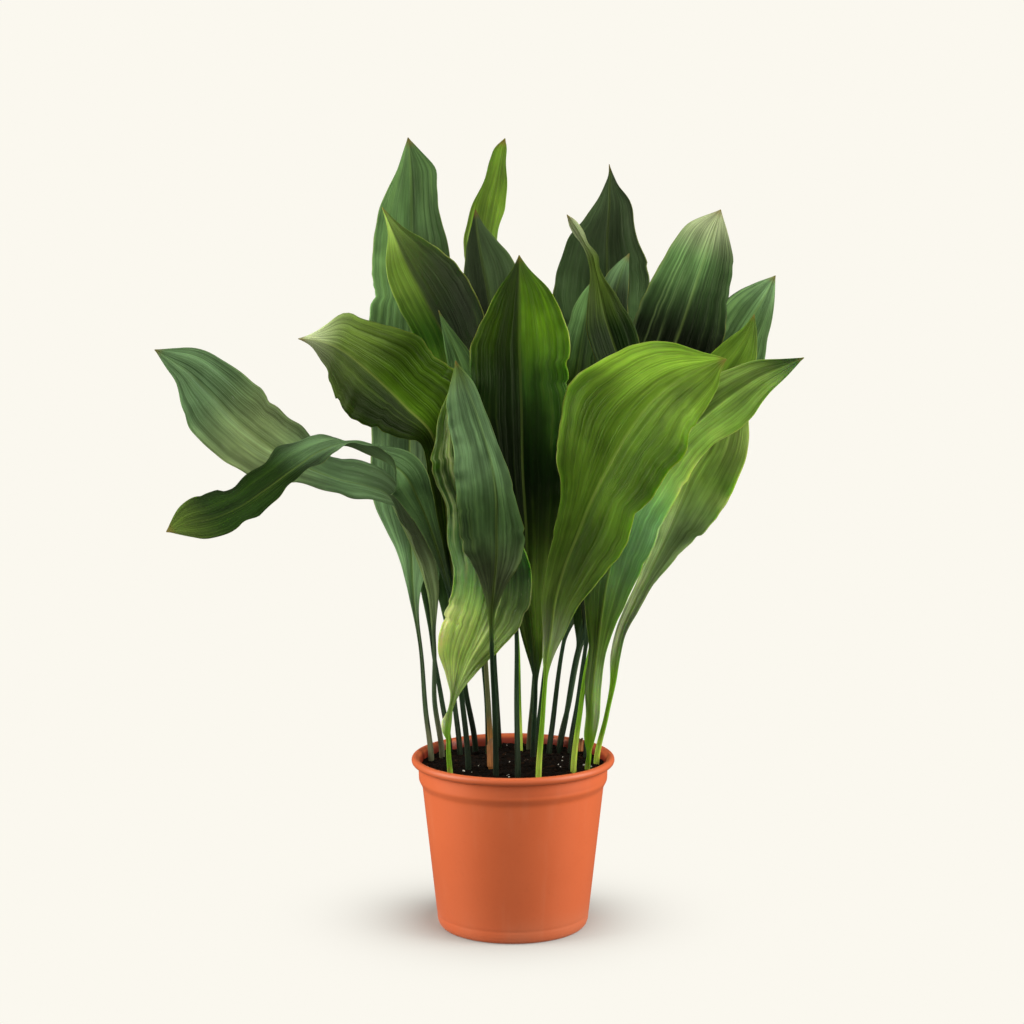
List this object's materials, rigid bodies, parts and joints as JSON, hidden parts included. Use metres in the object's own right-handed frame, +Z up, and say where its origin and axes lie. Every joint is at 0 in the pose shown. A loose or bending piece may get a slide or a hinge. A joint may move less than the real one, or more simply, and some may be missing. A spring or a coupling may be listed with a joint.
{
  "type": "potted plant",
  "caption": "Cast iron plant with long pointed pleated leaves on upright stalks, growing in a round tapered plastic pot with a rounded rim",
  "frame": {"origin": "centre of the pot's flat underside", "axes": "+Z up along the pot's axis, -Y the front the plant is seen from, +X to the right of the front view; metres"},
  "size_m": [0.5157, 0.4793, 0.6571],
  "materials": {
    "pot": "matte moulded plastic",
    "soil": "moist crumbly potting mix",
    "rhizome": "rough root bark",
    "dry_scale": "dry papery scale",
    "leaf_grey": "satin living leaf",
    "leaf_deep": "satin living leaf",
    "leaf_olive": "satin living leaf",
    "leaf_blue": "satin living leaf",
    "leaf_fresh": "satin living leaf",
    "leaf_dark": "satin living leaf"
  },
  "bodies": {
    "root": {"dry_sheath": "dry_scale", "dry_stub": "dry_scale", "leaf_back_dark": "leaf_dark", "leaf_back_grey": "leaf_grey", "leaf_back_yellow_edge": "leaf_grey", "leaf_centre_bright": "leaf_fresh", "leaf_centre_dark": "leaf_dark", "leaf_far_left_lower": "leaf_olive", "leaf_far_left_upper": "leaf_blue", "leaf_folded_left": "leaf_deep", "leaf_front_left": "leaf_grey", "leaf_front_left_bright": "leaf_fresh", "leaf_front_right_broad": "leaf_fresh", "leaf_left_olive": "leaf_olive", "leaf_left_teal_tip": "leaf_blue", "leaf_rear_centre": "leaf_deep", "leaf_rear_left": "leaf_deep", "leaf_rear_low_left": "leaf_deep", "leaf_rear_low_right": "leaf_deep", "leaf_rear_right": "leaf_deep", "leaf_right_back_grey": "leaf_grey", "leaf_right_bright": "leaf_fresh", "leaf_right_folded": "leaf_olive", "leaf_right_light_tip": "leaf_deep", "leaf_right_lower": "leaf_fresh", "leaf_right_upper": "leaf_fresh", "leaf_tall_centre": "leaf_fresh", "leaf_tall_left": "leaf_grey", "pot": "pot", "rhizome": "rhizome", "soil": "soil"}
  },
  "joints": []
}
